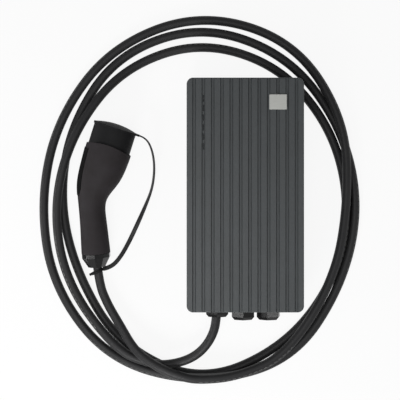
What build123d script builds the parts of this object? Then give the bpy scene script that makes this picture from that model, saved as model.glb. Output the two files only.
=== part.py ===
from build123d import *
import math
import os

os.makedirs("parts", exist_ok=True)

# The wallbox lies on its back: X runs across it, Y up the wall it is made for, Z out of that wall.
# The origin is the middle of the box's outline, on the wall. All sizes are in millimetres.

# Box
box_width = 163.0
box_height = 326.0
box_depth = 100.0
corner_radius = 9.0
standoff = 18.0

# Front cover
cover_wall = 3.0
front_wall = 2.6
front_edge_radius = 2.0
skirt_height = 24.0
groove_pitch = 12.92
groove_mouth = 5.0
groove_floor = 2.6
groove_depth = 2.2
edge_rib_min = 7.0
shelf_thickness = 3.0
shelf_overlap = 1.0

# Status lights
led_count = 6
led_pitch = 13.3
led_slot_length = 9.6
led_slot_width = 2.0
led_drop = 28.8
guide_thickness = 2.0
guide_margin = 4.0
guide_clearance = 0.1
led_chip_size = 3.2
led_chip_height = 0.8
led_board_margin = 10.0
led_board_thickness = 1.6
stake_diameter = 3.0
stake_shoulder = 6.0

# Badge plate
badge_width = 24.1
badge_height = 20.8
badge_thickness = 1.2
badge_corner = 0.8
badge_drop = 34.1

# Rear housing
tray_clearance = 0.8
tray_wall = 3.0
tray_back = 3.0
tray_depth = 44.0
gland_bay = 14.0
gasket_height = 2.0
gasket_inset = 0.25
hook_width = 14.0
hook_height = 4.0
hook_bite = 1.7
hook_clearance = 0.2
hook_spacing = 90.0
hook_drop = 12.0

# Cover screws
cover_screw_diameter = 4.0
cover_screw_length = 14.0
cover_screw_head = 7.4
cover_screw_sink = 2.2
cover_screw_rise = 70.0
cover_boss_diameter = 9.0
cover_boss_length = 10.0
screw_head_ratio = 1.85
screw_head_height_ratio = 0.6
screw_clearance = 0.2

# Wall bracket
sheet = 2.0
bracket_length = 240.0
brim_width = 15.0
brim_inset = 7.7
bend_radius = 1.0
wall_bolt_inset = 15.0
wall_bolt_spacing_y = 160.0
wall_bolt_hole = 6.5
bracket_slot_length = 44.0
bracket_slot_width = 12.0
bracket_slot_spacing = 60.0
bracket_screw_diameter = 4.0
bracket_screw_length = 8.0
bracket_screw_spacing_y = 200.0

# Circuit board and what it carries
board_height = 176.0
board_thickness = 1.6
board_side_gap = 12.7
board_top_gap = 20.2
post_diameter = 8.0
post_height = 10.0
post_inset = 6.0
board_screw_diameter = 3.0
board_screw_length = 8.0
relay_width = 34.0
relay_length = 50.0
relay_height = 32.0
relay_spacing = 56.0
relay_shift_y = -6.0
supply_width = 40.0
supply_length = 34.0
supply_height = 24.0
supply_shift_x = 28.0
supply_drop = 32.0
radio_width = 28.0
radio_length = 20.0
radio_height = 3.4
radio_shift_x = -34.0
radio_drop = 28.0
pole_count = 5
pole_pitch = 13.0
terminal_length = 24.0
terminal_height = 26.0
terminal_side = 11.5
terminal_end_wall = 4.0
terminal_hole = 6.0
terminal_hole_height = 9.4
terminal_well = 5.5
module_edge = 1.0

# Cable glands
gland_count = 3
gland_pitch = 36.9
gland_shift = -1.1
gland_axis_height = 42.0
gland_thread = 24.6
gland_hole_clearance = 0.4
gland_hex = 29.0
gland_flange = 6.0
gland_stub = 23.4
gland_stub_length = 13.0
gland_seat = 20.0
seal_shoulder = 0.9
gland_seat_depth = 10.0
locknut_hex = 31.0
locknut_height = 5.5
locknut_past = 1.5
nut_clearance = 0.2
nut_hex = 31.7
nut_turns = (32.0, 30.0, 40.0)
nut_length = 19.5
nut_prism = 15.3
nut_taper = 40.0
nut_mouth = 17.0
nut_end_wall = 5.2
nut_seat_gap = 0.3
nut_open_gap = 4.6
seal_clearance = 0.15
seal_length = 10.5
notch_margin = 4.0

# Charging cable
bend_share = 0.45
cable_diameter = 13.2
cable_clearance = 0.15
sheath_inside = 9.0
wire_diameter = 4.0
wire_circle = 3.6
wire_angles = (162, 234, 90, 306, 18)
wire_sides = 8
wire_lead_share = 0.15
sensor_width = 44.0
sensor_length = 16.0
sensor_height = 42.0
sensor_hole = 22.0
sensor_edge = 6.0
sensor_gap = 15.0

# Route of the cable between its gland and its coil, after the straight run out of the gland
lead_straight = 42.5
lead_bends = [(-47.0, -209.0, 38.0), (-67.0, -233.0, 30.0), (-96.0, -246.0, 23.5), (-131.0, -246.5, 19.6)]

# Coil: three loose turns, as radii about its centre every 30 degrees, from lower left clockwise
coil_centre = (-62.9, -9.9)
coil_start = 240
coil_step = 30
coil_turns = [
    (239, 225, 212, 210, 222, 229, 224, 217, 214, 222, 240, 253),
    (231, 208, 203, 216, 241, 252, 243, 231, 229, 237, 257, 263),
    (257, 242, 231, 238, 255, 269, 264, 238, 222, 230, 247, 260),
]
coil_top = 24.4
coil_hump = range(2, 5)
coil_stack = range(7, 12)

# Route of the cable between its connector and its coil, after the straight run out of the nut
tail_straight = 44.0
tail_bends = [
    (-202.0, -160.0, 17.5),
    (-181.0, -191.0, 20.5),
    (-157.0, -225.0, 29.0),
    (-130.0, -244.0, 35.5),
    (-97.0, -258.0, 34.0),
    (-65.5, -268.0, 26.0),
]

# Vehicle connector: where it lies, and its sections from the collar to the end of the grip
plug_x = -195.2
plug_y = 67.1
plug_lean = 18.0
plug_rest = 0.8
collar_diameter = 66.8
lip_rise = 6.4
lip_clearance = 0.4
grip_length = 151.0
grip_end = 42.0
grip_sections = [
    # station, side step, turn, width, thickness
    (0.0, 0.0, 0.0, collar_diameter, collar_diameter),
    (12.0, 0.0, 0.0, 66.4, 66.4),
    (28.0, -0.3, 0.0, 64.2, 63.6),
    (45.0, -1.3, 2.5, 59.6, 58.5),
    (62.0, -2.4, 7.0, 50.8, 52.0),
    (78.0, -0.8, 14.0, 41.6, 46.0),
    (94.0, 4.4, 20.0, 38.4, 42.4),
    (112.0, 12.0, 22.0, 39.2, 41.2),
    (127.0, 18.2, 22.0, 40.4, 41.0),
    (139.0, 23.1, 22.0, 41.4, 41.4),
    (grip_length, 28.0, 22.0, grip_end, grip_end),
]
inlay_height = 0.7
inlay_width = 43.0
inlay_waist_width = 38.0
inlay_end_width = 28.0
inlay_start = 7.0
inlay_waist = 66.0
inlay_end = 77.0

# Contact carrier and contacts
face_diameter = 55.6
face_flat = 5.0
face_length = 29.0
face_root = 12.0
face_clearance = 0.15
sleeve_outer = 8.4
sleeve_inner = 6.2
signal_outer = 5.4
signal_inner = 3.2
sleeve_clearance = 0.1
sleeve_recess = 5.0
sleeve_length = 32.0
power_places = [(0.0, 0.0), (0.0, 15.2), (0.0, -15.2), (13.8, 7.8), (13.8, -7.8)]
signal_places = [(-13.4, 6.6), (-13.4, -6.6)]

# Clamping nut of the connector
clamp_sides = 10
clamp_radius = 21.0
clamp_end_radius = 12.8
clamp_prism = 5.6
clamp_cone = 14.0
clamp_gap = 0.3
clamp_clearance = 0.2

# Dust cap and its tether
cap_diameter = 62.0
cap_length = 33.0
cap_dome = 4.8
cap_rim_diameter = 64.6
cap_rim_width = 3.0
cap_gap = 0.4
cap_clearance = 0.4
cap_end_gap = 1.0
lug_length = 4.0
lug_width = 8.0
strap_width = 6.5
strap_thickness = 2.2
strap_gap = 0.4
strap_out = 11.0
strap_bends = [
    (-131.4, 62.5, 28.0),
    (-129.4, 37.0, 19.0),
    (-133.4, 9.5, 10.5),
    (-144.3, -17.3, 5.0),
    (-156.2, -43.9, 3.8),
    (-168.0, -69.1, 4.4),
    (-180.4, -91.5, 8.5),
    (-193.5, -105.8, 13.5),
]
ring_wall = 1.6
ring_length = 3.6
ring_lug = 4.4
ring_gap = 0.6
ring_skew = 20.0
ring_clearance = 0.25
ring_tip = 2.0
ring_tip_angle = 60.0


def cord_radii(points):
    """Largest arc at each inner point of a cord that its two runs allow."""
    spots = [Vector(*p) for p in points]
    radii = []
    for before, at, after in zip(spots, spots[1:], spots[2:]):
        turn = math.radians((at - before).get_angle(after - at))
        radii.append(bend_share * min((at - before).length, (after - at).length) / math.tan(turn / 2))
    return radii


def hexagon(across_flats, turn=0.0):
    """Hexagon, turned from where two of its flats face the front and the wall."""
    return RegularPolygon(across_flats / 2, 6, major_radius=False, rotation=turn)


def finish(part, name):
    part.label = name
    export_step(part, f"parts/{name}.step")


# Heights above the wall, from the wall outwards
tray_floor = standoff + tray_back
tray_rim = standoff + tray_depth
shelf_height = tray_rim + gasket_height
front_inner = box_depth - groove_depth - front_wall

# Tray outline: it stands inside the cover, and its lower wall stops short to leave a bay for the glands
tray_width = box_width - 2 * (cover_wall + tray_clearance)
tray_top = box_height / 2 - cover_wall - tray_clearance
tray_bottom = -box_height / 2 + gland_bay
tray_height = tray_top - tray_bottom
tray_middle = (tray_top + tray_bottom) / 2
tray_corner = corner_radius - cover_wall - tray_clearance
inner_corner = corner_radius - cover_wall

# Bracket under the tray, board inside it, and the inner ends of the charging cable
bracket_width = tray_width - 2 * (brim_inset + brim_width)
wall_bolt_spacing_x = bracket_width - 2 * wall_bolt_inset
board_width = tray_width - 2 * (tray_wall + board_side_gap)
board_upper_edge = tray_top - tray_wall - board_top_gap
board_centre_y = board_upper_edge - board_height / 2
sheath_y = tray_bottom + tray_wall + sheath_inside
sensor_y = sheath_y + sensor_gap

# Groove, light and badge places across the front
half_grooves = int((box_width / 2 - edge_rib_min - groove_mouth / 2) / groove_pitch + 0.5)
last_groove = (half_grooves - 0.5) * groove_pitch
led_x = groove_pitch - last_groove
led_y = box_height / 2 - led_drop - (led_count - 1) * led_pitch / 2
led_span = (led_count - 1) * led_pitch + led_slot_length
badge_x = last_groove - 2 * groove_pitch
badge_y = box_height / 2 - badge_drop

# Gland places along the lower wall
gland_places = [gland_shift + (i - (gland_count - 1) / 2) * gland_pitch for i in range(gland_count)]
hex_corner = max(gland_hex, nut_hex) / math.sqrt(3)
notch_width = (gland_count - 1) * gland_pitch + 2 * (hex_corner + notch_margin)
notch_top = gland_axis_height + hex_corner + notch_margin / 2
lower_wall_y = -box_height / 2 + cover_wall / 2
cover_screw_y = -box_height / 2 + cover_screw_rise
cover_screw_z = (standoff + tray_rim) / 2
slot_reach = 2 * (front_wall + groove_depth)
stake_spacing = led_span + 2 * guide_margin + stake_shoulder


def side_plane(side, depth):
    """Plane across a cover screw, a depth inside the side wall it goes through."""
    return Plane((side * (box_width / 2 - depth), cover_screw_y, cover_screw_z), z_dir=(side, 0, 0))


# Front cover: a shell with grooves down its face, a sealing shelf inside and a notch over the glands
with BuildPart() as front_cover:
    with BuildSketch(Plane.XY.offset(skirt_height)):
        RectangleRounded(box_width, box_height, corner_radius)
    extrude(amount=box_depth - skirt_height)
    fillet(front_cover.faces().sort_by(Axis.Z)[-1].edges(), front_edge_radius)
    with BuildSketch(Plane.XY.offset(skirt_height)):
        RectangleRounded(box_width - 2 * cover_wall, box_height - 2 * cover_wall, inner_corner)
    extrude(amount=front_inner - skirt_height, mode=Mode.SUBTRACT)
    with BuildSketch(Plane.XY.offset(shelf_height)):
        RectangleRounded(box_width - 2 * cover_wall, box_height - 2 * cover_wall, inner_corner)
        with Locations((0, tray_middle)):
            Rectangle(
                tray_width - 2 * (tray_wall + shelf_overlap),
                tray_height - 2 * (tray_wall + shelf_overlap),
                mode=Mode.SUBTRACT,
            )
    extrude(amount=shelf_thickness)
    with BuildSketch(Plane.XZ):
        with Locations((0, box_depth)):
            with GridLocations(groove_pitch, groove_pitch, 2 * half_grooves, 1):
                Polygon(
                    (-groove_floor / 2, -groove_depth),
                    (groove_floor / 2, -groove_depth),
                    (groove_mouth / 2, 0),
                    (groove_mouth / 2, groove_depth),
                    (-groove_mouth / 2, groove_depth),
                    (-groove_mouth / 2, 0),
                    align=None,
                )
    extrude(amount=box_height, both=True, mode=Mode.SUBTRACT)
    with BuildSketch(Plane.XY.offset(front_inner)):
        with Locations((led_x, led_y)):
            with GridLocations(led_pitch, led_pitch, 1, led_count):
                SlotOverall(led_slot_length, led_slot_width, rotation=90)
    extrude(amount=slot_reach, both=True, mode=Mode.SUBTRACT)
    with BuildSketch(Plane.XY.offset(front_inner)):
        with Locations((led_x, led_y)):
            with GridLocations(stake_spacing, stake_spacing, 1, 2):
                Circle(stake_shoulder / 2)
    extrude(amount=-guide_thickness - led_chip_height)
    with BuildSketch(Plane.XY.offset(front_inner)):
        with Locations((led_x, led_y)):
            with GridLocations(stake_spacing, stake_spacing, 1, 2):
                Circle(stake_diameter / 2)
    extrude(amount=-guide_thickness - led_chip_height - led_board_thickness)
    with BuildSketch(Plane.XY.offset(skirt_height)):
        with Locations((gland_shift, lower_wall_y)):
            Rectangle(notch_width, 2 * cover_wall)
    extrude(amount=notch_top - skirt_height, mode=Mode.SUBTRACT)
    for side in (-1, 1):
        with BuildSketch(side_plane(side, 0)):
            Circle(cover_screw_head / 2 + screw_clearance)
        with BuildSketch(side_plane(side, cover_screw_sink)):
            Circle(cover_screw_diameter / 2 + screw_clearance)
        loft(mode=Mode.SUBTRACT)
        with BuildSketch(side_plane(side, 0)):
            Circle(cover_screw_diameter / 2 + screw_clearance)
        extrude(amount=-2 * cover_wall, mode=Mode.SUBTRACT)
    with BuildSketch(Plane.XZ.offset(-tray_top)):
        with Locations((0, tray_rim - hook_drop)):
            with GridLocations(hook_spacing, hook_spacing, 2, 1):
                Rectangle(hook_width + 2 * hook_clearance, hook_height + 2 * hook_clearance)
    extrude(amount=-tray_clearance - hook_bite - hook_clearance, mode=Mode.SUBTRACT)
finish(front_cover.part, "front_cover")

# Light guide: a strip behind the face with one bar standing in each slot
with BuildPart() as light_guide:
    with BuildSketch(Plane.XY.offset(front_inner)):
        with Locations((led_x, led_y)):
            Rectangle(led_slot_width + 2 * guide_margin, led_span + 2 * guide_margin)
    extrude(amount=-guide_thickness)
    with BuildSketch(Plane.XY.offset(front_inner)):
        with Locations((led_x, led_y)):
            with GridLocations(led_pitch, led_pitch, 1, led_count):
                SlotOverall(
                    led_slot_length - 2 * guide_clearance,
                    led_slot_width - 2 * guide_clearance,
                    rotation=90,
                )
    extrude(amount=front_wall)
finish(light_guide.part, "light_guide")

# Lamps behind the guide, and the board that carries them on two stakes of the cover
led_back = front_inner - guide_thickness
with BuildPart() as status_leds:
    with BuildSketch(Plane.XY.offset(led_back)):
        with Locations((led_x, led_y)):
            with GridLocations(led_pitch, led_pitch, 1, led_count):
                Rectangle(led_chip_size, led_chip_size)
    extrude(amount=-led_chip_height)
finish(status_leds.part, "status_leds")

with BuildPart() as led_board:
    with BuildSketch(Plane.XY.offset(led_back - led_chip_height)):
        with Locations((led_x, led_y)):
            Rectangle(led_slot_width + 2 * guide_margin, stake_spacing + led_board_margin)
            with GridLocations(stake_spacing, stake_spacing, 1, 2):
                Circle(stake_diameter / 2 + guide_clearance, mode=Mode.SUBTRACT)
    extrude(amount=-led_board_thickness)
finish(led_board.part, "led_board")

# Badge plate, bare, lying across two ribs
with BuildPart() as badge_plate:
    with BuildSketch(Plane.XY.offset(box_depth)):
        with Locations((badge_x, badge_y)):
            RectangleRounded(badge_width, badge_height, badge_corner)
    extrude(amount=badge_thickness)
finish(badge_plate.part, "badge_plate")

# Rear housing: a tray with board posts, gland holes, hooks at the top and a screw boss inside each side
post_spacing_x = board_width - 2 * post_inset
post_spacing_y = board_height - 2 * post_inset
brim_middle = bracket_width + brim_width
with BuildPart() as rear_housing:
    with BuildSketch(Plane.XY.offset(standoff)):
        with Locations((0, tray_middle)):
            RectangleRounded(tray_width, tray_height, tray_corner)
    extrude(amount=tray_depth)
    with BuildSketch(Plane.XY.offset(tray_floor)):
        with Locations((0, tray_middle)):
            RectangleRounded(tray_width - 2 * tray_wall, tray_height - 2 * tray_wall, tray_corner - tray_wall)
    extrude(amount=tray_depth, mode=Mode.SUBTRACT)
    with BuildSketch(Plane.XY.offset(tray_floor)):
        with Locations((0, board_centre_y)):
            with GridLocations(post_spacing_x, post_spacing_y, 2, 2):
                Circle(post_diameter / 2)
                Circle(board_screw_diameter / 2, mode=Mode.SUBTRACT)
    extrude(amount=post_height)
    with BuildSketch(Plane.XZ.offset(-tray_bottom)):
        with Locations((gland_shift, gland_axis_height)):
            with GridLocations(gland_pitch, gland_pitch, gland_count, 1):
                Circle(gland_thread / 2 + gland_hole_clearance)
    extrude(amount=-2 * tray_wall, mode=Mode.SUBTRACT)
    for side in (-1, 1):
        with BuildSketch(side_plane(side, cover_wall + tray_clearance)):
            Circle(cover_boss_diameter / 2)
        extrude(amount=-tray_wall - cover_boss_length)
        with BuildSketch(side_plane(side, 0)):
            Circle(cover_screw_diameter / 2)
        extrude(amount=-cover_screw_length, mode=Mode.SUBTRACT)
    with BuildSketch(Plane.XZ.offset(-tray_top)):
        with Locations((0, tray_rim - hook_drop)):
            with GridLocations(hook_spacing, hook_spacing, 2, 1):
                Rectangle(hook_width, hook_height)
    extrude(amount=-tray_clearance - hook_bite)
    with BuildSketch(Plane.XY.offset(standoff)):
        with GridLocations(brim_middle, bracket_screw_spacing_y, 2, 2):
            Circle(bracket_screw_diameter / 2 + screw_clearance)
    extrude(amount=2 * tray_back, mode=Mode.SUBTRACT)
finish(rear_housing.part, "rear_housing")

# Gasket on the rim of the tray, under the shelf of the cover
with BuildPart() as cover_gasket:
    with BuildSketch(Plane.XY.offset(tray_rim)):
        with Locations((0, tray_middle)):
            RectangleRounded(
                tray_width - 2 * gasket_inset,
                tray_height - 2 * gasket_inset,
                tray_corner - gasket_inset,
            )
            RectangleRounded(
                tray_width - 2 * (tray_wall - gasket_inset),
                tray_height - 2 * (tray_wall - gasket_inset),
                tray_corner - tray_wall + gasket_inset,
                mode=Mode.SUBTRACT,
            )
    extrude(amount=gasket_height)
finish(cover_gasket.part, "cover_gasket")

# Wall bracket: a folded hat of sheet, its crown on the wall and its brims under the tray
crown = bracket_width / 2
brim = crown + brim_width
outer_bend = bend_radius + sheet
with BuildPart() as wall_bracket:
    with BuildSketch(Plane.XZ.offset(-bracket_length / 2)):
        with BuildLine():
            FilletPolyline(
                (-crown, 0),
                (crown, 0),
                (crown, standoff - sheet),
                (brim, standoff - sheet),
                (brim, standoff),
                (crown - sheet, standoff),
                (crown - sheet, sheet),
                (sheet - crown, sheet),
                (sheet - crown, standoff),
                (-brim, standoff),
                (-brim, standoff - sheet),
                (-crown, standoff - sheet),
                radius=[outer_bend, outer_bend, bend_radius, 0, 0, outer_bend]
                + [bend_radius, bend_radius, outer_bend, 0, 0, bend_radius],
                close=True,
            )
        make_face()
    extrude(amount=bracket_length)
    with BuildSketch():
        with GridLocations(wall_bolt_spacing_x, wall_bolt_spacing_y, 2, 2):
            Circle(wall_bolt_hole / 2)
        with GridLocations(bracket_slot_spacing, bracket_slot_spacing, 1, 2):
            SlotOverall(bracket_slot_length, bracket_slot_width)
    extrude(amount=2 * sheet, mode=Mode.SUBTRACT)
    with BuildSketch(Plane.XY.offset(standoff)):
        with GridLocations(brim_middle, bracket_screw_spacing_y, 2, 2):
            Circle(bracket_screw_diameter / 2)
    extrude(amount=-2 * sheet, mode=Mode.SUBTRACT)
finish(wall_bracket.part, "wall_bracket")

# Screws that hold the tray on the bracket, the board on its posts and the cover on the tray
with BuildPart() as bracket_screws:
    with BuildSketch(Plane.XY.offset(tray_floor)):
        with GridLocations(brim_middle, bracket_screw_spacing_y, 2, 2):
            Circle(bracket_screw_diameter * screw_head_ratio / 2)
    extrude(amount=bracket_screw_diameter * screw_head_height_ratio)
    with BuildSketch(Plane.XY.offset(tray_floor)):
        with GridLocations(brim_middle, bracket_screw_spacing_y, 2, 2):
            Circle(bracket_screw_diameter / 2)
    extrude(amount=-bracket_screw_length)
finish(bracket_screws.part, "bracket_screws")

board_back = tray_floor + post_height
board_top = board_back + board_thickness
with BuildPart() as board_screws:
    with BuildSketch(Plane.XY.offset(board_top)):
        with Locations((0, board_centre_y)):
            with GridLocations(post_spacing_x, post_spacing_y, 2, 2):
                Circle(board_screw_diameter * screw_head_ratio / 2)
    extrude(amount=board_screw_diameter * screw_head_height_ratio)
    with BuildSketch(Plane.XY.offset(board_top)):
        with Locations((0, board_centre_y)):
            with GridLocations(post_spacing_x, post_spacing_y, 2, 2):
                Circle(board_screw_diameter / 2)
    extrude(amount=-board_screw_length)
finish(board_screws.part, "board_screws")

with BuildPart() as cover_screws:
    for side in (-1, 1):
        with BuildSketch(side_plane(side, 0)):
            Circle(cover_screw_head / 2)
        with BuildSketch(side_plane(side, cover_screw_sink)):
            Circle(cover_screw_diameter / 2)
        loft()
        with BuildSketch(side_plane(side, cover_screw_sink)):
            Circle(cover_screw_diameter / 2)
        extrude(amount=cover_screw_sink - cover_screw_length)
finish(cover_screws.part, "cover_screws")

# Circuit board on its posts
with BuildPart() as main_board:
    with BuildSketch(Plane.XY.offset(board_back)):
        with Locations((0, board_centre_y)):
            Rectangle(board_width, board_height)
            with GridLocations(post_spacing_x, post_spacing_y, 2, 2):
                Circle(board_screw_diameter / 2 + screw_clearance, mode=Mode.SUBTRACT)
    extrude(amount=board_thickness)
finish(main_board.part, "main_board")

# Relays, power supply and radio module on the board
with BuildPart() as power_relays:
    with BuildSketch(Plane.XY.offset(board_top)):
        with Locations((0, board_centre_y + relay_shift_y)):
            with GridLocations(relay_spacing, relay_spacing, 2, 1):
                Rectangle(relay_width, relay_length)
    extrude(amount=relay_height)
    chamfer(power_relays.faces().group_by(Axis.Z)[-1].edges(), module_edge)
finish(power_relays.part, "power_relays")

with BuildPart() as power_supply:
    with BuildSketch(Plane.XY.offset(board_top)):
        with Locations((supply_shift_x, board_upper_edge - supply_drop)):
            Rectangle(supply_width, supply_length)
    extrude(amount=supply_height)
    chamfer(power_supply.faces().sort_by(Axis.Z)[-1].edges(), module_edge)
finish(power_supply.part, "power_supply")

with BuildPart() as radio_module:
    with BuildSketch(Plane.XY.offset(board_top)):
        with Locations((radio_shift_x, board_upper_edge - radio_drop)):
            Rectangle(radio_width, radio_length)
    extrude(amount=radio_height)
finish(radio_module.part, "radio_module")

# Terminal block at the lower edge of the board: a wire hole and a screw well for each pole
terminal_y = board_centre_y - board_height / 2 + terminal_length / 2
terminal_width = pole_count * pole_pitch + 2 * terminal_end_wall
terminal_x = -board_width / 2 + terminal_side + terminal_width / 2
with BuildPart() as terminal_block:
    with BuildSketch(Plane.XY.offset(board_top)):
        with Locations((terminal_x, terminal_y)):
            Rectangle(terminal_width, terminal_length)
    extrude(amount=terminal_height)
    with BuildSketch(Plane.XZ.offset(terminal_length / 2 - terminal_y)):
        with Locations((terminal_x, board_top + terminal_hole_height)):
            with GridLocations(pole_pitch, pole_pitch, pole_count, 1):
                Circle(terminal_hole / 2)
    extrude(amount=-terminal_length / 2, mode=Mode.SUBTRACT)
    with BuildSketch(Plane.XY.offset(board_top + terminal_height)):
        with Locations((terminal_x, terminal_y)):
            with GridLocations(pole_pitch, pole_pitch, pole_count, 1):
                Circle(terminal_well / 2)
    extrude(amount=-terminal_height / 2, mode=Mode.SUBTRACT)
finish(terminal_block.part, "terminal_block")

# Cable glands: body through the tray wall, locknut inside, rubber insert and outer nut.
# The first is tightened on the charging cable, the others stand open.
nut_core = nut_length - nut_end_wall
for number, place in enumerate(gland_places, start=1):
    mouth = Plane((place, tray_bottom, gland_axis_height), x_dir=(1, 0, 0), z_dir=(0, -1, 0))
    nut_start = gland_flange + (nut_seat_gap if number == 1 else nut_open_gap)
    stub_end = gland_flange + gland_stub_length
    body_start = -tray_wall - locknut_height - locknut_past

    with BuildPart() as gland_body:
        with BuildSketch(mouth.offset(body_start)):
            Circle(gland_thread / 2)
        extrude(amount=-body_start)
        with BuildSketch(mouth):
            hexagon(gland_hex)
        extrude(amount=gland_flange)
        with BuildSketch(mouth.offset(gland_flange)):
            Circle(gland_stub / 2)
        extrude(amount=gland_stub_length)
        with BuildSketch(mouth.offset(body_start)):
            Circle(gland_seat / 2 - seal_shoulder)
        extrude(amount=stub_end - body_start, mode=Mode.SUBTRACT)
        with BuildSketch(mouth.offset(stub_end)):
            Circle(gland_seat / 2)
        extrude(amount=-gland_seat_depth, mode=Mode.SUBTRACT)
    finish(gland_body.part, f"gland_body_{number}")

    with BuildPart() as gland_locknut:
        with BuildSketch(mouth.offset(-tray_wall)):
            hexagon(locknut_hex)
            Circle(gland_thread / 2 + nut_clearance, mode=Mode.SUBTRACT)
        extrude(amount=-locknut_height)
    finish(gland_locknut.part, f"gland_locknut_{number}")

    with BuildPart() as gland_seal:
        with BuildSketch(mouth.offset(stub_end - gland_seat_depth)):
            Circle(gland_seat / 2 - seal_clearance)
            Circle(cable_diameter / 2 + cable_clearance, mode=Mode.SUBTRACT)
        extrude(amount=seal_length)
    finish(gland_seal.part, f"gland_seal_{number}")

    with BuildPart() as gland_nut:
        with BuildSketch(mouth.offset(nut_start)):
            hexagon(nut_hex, nut_turns[number - 1])
        extrude(amount=nut_prism)
        with BuildSketch(mouth.offset(nut_start + nut_prism)):
            hexagon(nut_hex, nut_turns[number - 1])
        extrude(amount=nut_length - nut_prism, taper=nut_taper)
        with BuildSketch(mouth.offset(nut_start)):
            Circle(gland_stub / 2 + nut_clearance)
        extrude(amount=nut_core, mode=Mode.SUBTRACT)
        with BuildSketch(mouth.offset(nut_start)):
            Circle(nut_mouth / 2)
        extrude(amount=nut_length, mode=Mode.SUBTRACT)
    finish(gland_nut.part, f"gland_nut_{number}")

# Charging cable, from inside the tray through the first gland to the coil
lead_start = (gland_places[0], sheath_y, gland_axis_height)
lead_turn = (gland_places[0], sheath_y - lead_straight, gland_axis_height)
lead_points = [lead_start, lead_turn] + lead_bends
with BuildPart() as cable_lead:
    with BuildLine() as lead_line:
        FilletPolyline(*lead_points, radius=cord_radii(lead_points))
    with BuildSketch(Plane(lead_line.line @ 0, z_dir=lead_line.line % 0)):
        Circle(cable_diameter / 2)
    sweep()
finish(cable_lead.part, "cable_lead")

# Current sensor: a block on the tray floor that the wires of the cable pass through
with BuildPart() as current_sensor:
    with BuildSketch(Plane.XZ.offset(-sensor_y)):
        with Locations((gland_places[0], tray_floor)):
            Rectangle(sensor_width, sensor_height, align=(Align.CENTER, Align.MIN))
        with Locations((gland_places[0], gland_axis_height)):
            Circle(sensor_hole / 2, mode=Mode.SUBTRACT)
    extrude(amount=-sensor_length)
    upright = current_sensor.edges().filter_by(Axis.Y).group_by(Axis.Z)[-1]
    fillet(upright, sensor_edge)
finish(current_sensor.part, "current_sensor")

# Wires from the end of the sheath through the sensor to the terminals, left to right
terminal_face = terminal_y - terminal_length / 2
sensor_back = sensor_y + sensor_length
wire_lead = wire_lead_share * (terminal_face - sensor_back)
with BuildPart() as output_wires:
    for pole, angle in enumerate(wire_angles):
        wire_x = gland_places[0] + wire_circle * math.cos(math.radians(angle))
        wire_z = gland_axis_height + wire_circle * math.sin(math.radians(angle))
        pole_x = terminal_x + (pole - (pole_count - 1) / 2) * pole_pitch
        pole_z = board_top + terminal_hole_height
        wire_points = [
            (wire_x, sheath_y, wire_z),
            (wire_x, sensor_back + wire_lead, wire_z),
            (pole_x, terminal_face - wire_lead, pole_z),
            (pole_x, terminal_face + terminal_length / 4, pole_z),
        ]
        with BuildLine() as wire_line:
            FilletPolyline(*wire_points, radius=2 * wire_diameter)
        with BuildSketch(Plane(wire_line.line @ 0, z_dir=wire_line.line % 0)):
            RegularPolygon(wire_diameter / 2, wire_sides)
        sweep(path=wire_line.wire())
finish(output_wires.part, "output_wires")


def coil_point(radius, index, height):
    angle = math.radians(coil_start - coil_step * index)
    return (coil_centre[0] + radius * math.cos(angle), coil_centre[1] + radius * math.sin(angle), height)


def coil_arc(turn, indexes, side, height):
    """Points along one edge of a turn, half a cable inside or outside its line."""
    return [coil_point(turn[i] + side * cable_diameter / 2, i, height) for i in indexes]


# Coil of the cable: the outer shape of its turns on the floor and of the lengths that lie on top
coil_indexes = range(len(coil_turns[0]))
innermost = [min(radii) for radii in zip(*coil_turns)]
outermost = [max(radii) for radii in zip(*coil_turns)]
with BuildPart() as cable_coil:
    with BuildSketch():
        with BuildLine():
            Spline(*coil_arc(outermost, coil_indexes, 1, 0), periodic=True)
        make_face()
        with BuildLine():
            Spline(*coil_arc(innermost, coil_indexes, -1, 0), periodic=True)
        make_face(mode=Mode.SUBTRACT)
    extrude(amount=cable_diameter)
    for turn, indexes in ((coil_turns[1], coil_hump), (coil_turns[2], coil_stack)):
        with BuildSketch(Plane.XY.offset(cable_diameter)):
            with BuildLine():
                far = Spline(*coil_arc(turn, indexes, 1, 0))
                near = Spline(*coil_arc(turn, indexes, -1, 0))
                Line(far @ 0, near @ 0)
                Line(far @ 1, near @ 1)
            make_face()
        extrude(amount=coil_top - cable_diameter)
finish(cable_coil.part, "cable_coil")

# Vehicle connector: its head points up its own axis, tilted so that collar and grip end both lie down
lean = math.radians(plug_lean)
tilt = math.asin((collar_diameter - grip_end) / 2 / grip_length)
plug_z = collar_diameter / 2 + plug_rest
head = Plane(
    (plug_x, plug_y, plug_z),
    x_dir=(math.cos(lean), -math.sin(lean), 0),
    z_dir=(math.sin(lean) * math.cos(tilt), math.cos(lean) * math.cos(tilt), math.sin(tilt)),
)


def grip_plane(station, side, turn):
    """Plane across the grip, a station behind the collar, stepped aside and turned to follow the bend."""
    return Plane(head.location * Location((side, 0, -station), (0, -turn, 0)))


tail = grip_plane(*grip_sections[-1][:3])

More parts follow.
